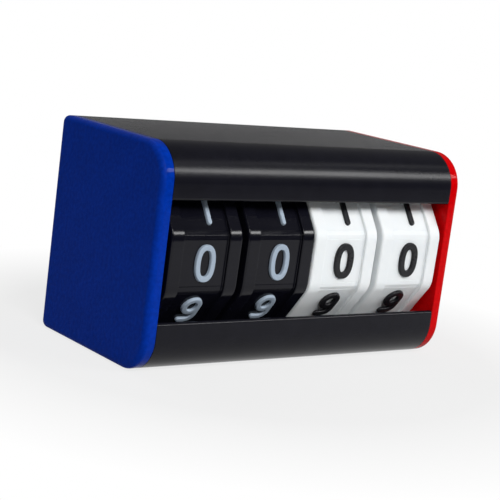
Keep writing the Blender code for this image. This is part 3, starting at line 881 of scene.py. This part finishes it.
PAPER_FRONT = 0.25           # how far the paper reaches in front of the object's middle
PAPER_SIDE = 1.2
PAPER_BACK = 0.9             # where it turns up
PAPER_TURN_RADIUS = 0.10
PAPER_TOP = 0.12
FLOOR_DROP = 0.0001
NEAR_GLOW = 0.78             # how white the paper shows under the object
NEAR_REACH = 0.07
FAR_REACH = 0.12             # from here out it shows pure white
PAPER_COLOUR = (0.50, 0.50, 0.50, 1)
WHITE = (1, 1, 1, 1)


def make_paper():
    """Paper that glows white where it is seen, and that is plain matt for other light."""
    paper = bpy.data.materials.new("white_paper")
    paper.use_nodes = True
    tree = paper.node_tree
    tree.nodes.clear()
    path = add_node(tree, "ShaderNodeLightPath").outputs
    seen = combine(tree, "MAXIMUM", path["Is Camera Ray"], path["Is Glossy Ray"])
    shown = combine(tree, "MAXIMUM", seen, path["Is Transmission Ray"])
    place = add_node(tree, "ShaderNodeTexCoord").outputs["Object"]
    reach = add_node(tree, "ShaderNodeVectorMath", {0: place}, operation="LENGTH").outputs["Value"]
    whiteness = ramp(tree, reach, NEAR_GLOW, 1.0, NEAR_REACH, FAR_REACH)
    share = combine(tree, "MULTIPLY", shown, whiteness)
    matt = add_node(tree, "ShaderNodeBsdfDiffuse", {"Color": PAPER_COLOUR})
    glow = add_node(tree, "ShaderNodeEmission", {"Color": WHITE, "Strength": 1.0})
    mixed = add_node(tree, "ShaderNodeMixShader", {"Fac": share, 1: matt.outputs[0],
                                                   2: glow.outputs[0]})
    add_node(tree, "ShaderNodeOutputMaterial", {"Surface": mixed.outputs[0]})
    return paper


def make_floor():
    """A sheet of white paper under the object that turns up behind it."""
    line = [(-PAPER_FRONT, 0.0)]
    line += arc(PAPER_BACK, PAPER_TURN_RADIUS, PAPER_TURN_RADIUS, -math.pi / 2, 0, ARC_STEPS)
    line.append((PAPER_BACK + PAPER_TURN_RADIUS, PAPER_TOP))
    mesh_data = bmesh.new()
    rows = [[mesh_data.verts.new((x, y, z - FLOOR_DROP)) for y, z in line]
            for x in (-PAPER_SIDE, PAPER_SIDE)]
    for i in range(len(line) - 1):
        mesh_data.faces.new((rows[0][i], rows[1][i], rows[1][i + 1], rows[0][i + 1]))
    mesh = bpy.data.meshes.new("paper_floor")
    mesh_data.to_mesh(mesh)
    mesh_data.free()
    mesh.shade_smooth()
    floor = add_object("paper_floor", mesh)
    mesh.materials.append(make_paper())


ROOM_LIGHT = 0.12            # what surfaces get from all round
ROOM_DARK = 0.03             # what a gloss shows of the room in front, below the horizon
ROOM_ABOVE = 0.17            # what it shows of the ceiling
BACK_GLOW = 0.10             # what it shows of the wall behind, above the paper
PAPER_EDGE_SINE = 0.05       # the white of the paper ends this high
EDGE_SINE = 0.05             # how soft its end is
CEILING_SINE = 0.35          # the ceiling has its full level from here up


def make_world():
    """White behind the object for the eye, and a dim room above for reflections."""
    world = bpy.data.worlds.new("studio")
    bpy.context.scene.world = world
    world.use_nodes = True
    tree = world.node_tree
    tree.nodes.clear()
    direction = add_node(tree, "ShaderNodeTexCoord").outputs["Generated"]
    parts = add_node(tree, "ShaderNodeSeparateXYZ", {"Vector": direction}).outputs
    paper = ramp(tree, parts["Z"], 1.0, BACK_GLOW, PAPER_EDGE_SINE, PAPER_EDGE_SINE + EDGE_SINE)
    behind = ramp(tree, parts["Y"], ROOM_DARK, 1.0, -EDGE_SINE, EDGE_SINE)
    low = combine(tree, "MINIMUM", paper, behind)
    above = ramp(tree, parts["Z"], 0.0, ROOM_ABOVE, PAPER_EDGE_SINE, CEILING_SINE)
    shown = combine(tree, "MAXIMUM", low, above)
    path = add_node(tree, "ShaderNodeLightPath").outputs
    gloss = combine(tree, "MAXIMUM", path["Is Glossy Ray"], path["Is Transmission Ray"])
    level = blend_numbers(tree, gloss, ROOM_LIGHT, shown)
    seen = blend_numbers(tree, path["Is Camera Ray"], level, 1.0)
    glow = add_node(tree, "ShaderNodeBackground", {"Color": WHITE, "Strength": seen})
    add_node(tree, "ShaderNodeOutputWorld", {"Surface": glow.outputs[0]})


LAMP_TARGET = Vector((0, -0.01, 0.03))


def make_lamp(name, direction, distance, width, height, watts, lit_piece=None):
    """An area lamp aimed at the object; with a lit piece, it lights that piece only."""
    data = bpy.data.lights.new(name, "AREA")
    data.shape = "RECTANGLE"
    data.size = width
    data.size_y = height
    data.energy = watts
    lamp = add_object(name, data)
    back = Vector(direction).normalized()
    lamp.location = LAMP_TARGET + back * distance
    lamp.rotation_mode = "QUATERNION"
    lamp.rotation_quaternion = (-back).to_track_quat("-Z", "Y")
    if lit_piece:
        lit = bpy.data.collections.new(f"{name}_lights")
        lit.objects.link(lit_piece)
        lamp.light_linking.receiver_collection = lit


def make_lamps(housing):
    """The strips give the housing's front its bright band and the faint one above it."""
    make_lamp("key_lamp", (-0.25, -0.80, 0.61), distance=1.2, width=0.40, height=0.40, watts=8.8)
    make_lamp("strip_lamp", (0.56, -0.685, 0.448), distance=1.3, width=0.7, height=0.20, watts=7.5)
    make_lamp("high_strip_lamp", (0.58, -0.41, 0.70), distance=1.3, width=0.7, height=0.10,
              watts=0.42, lit_piece=housing)
    make_lamp("rear_lamp", (-0.10, 0.65, 0.76), distance=1.6, width=0.9, height=0.9, watts=5.0)


def build():
    make_camera()
    make_floor()
    make_world()
    housing = make_housing(anodised_black())
    make_lamps(housing)
    make_cap("left_cap_moulding", -1, cap_plastic("blue_cap_plastic", CAP_BLUE),
             "left_end_cap")
    make_cap("right_cap_moulding", 1, cap_plastic("red_cap_plastic", CAP_RED),
             "right_end_cap")
    black = moulded_plastic("black_wheel_plastic", WHEEL_BLACK, roughness=0.14, specular=0.20)
    white = moulded_plastic("white_wheel_plastic", WHEEL_WHITE, roughness=0.38, specular=0.12,
                            milkiness=0.4)
    pale_paint = moulded_plastic("pale_digit_paint", PALE_PAINT, roughness=0.40, scuffed=EVEN)
    black_paint = moulded_plastic("black_digit_paint", BLACK_PAINT, roughness=0.3, scuffed=EVEN)
    bodies = sorted(WHEEL_CENTRES)
    middle = len(bodies) // 2
    make_wheels(bodies[:middle], black, pale_paint, PALE_DIGIT)
    make_wheels(bodies[middle:], white, black_paint, BLACK_DIGIT)
    dress_frame_nodes()
    bpy.context.scene.view_settings.view_transform = "Standard"


build()
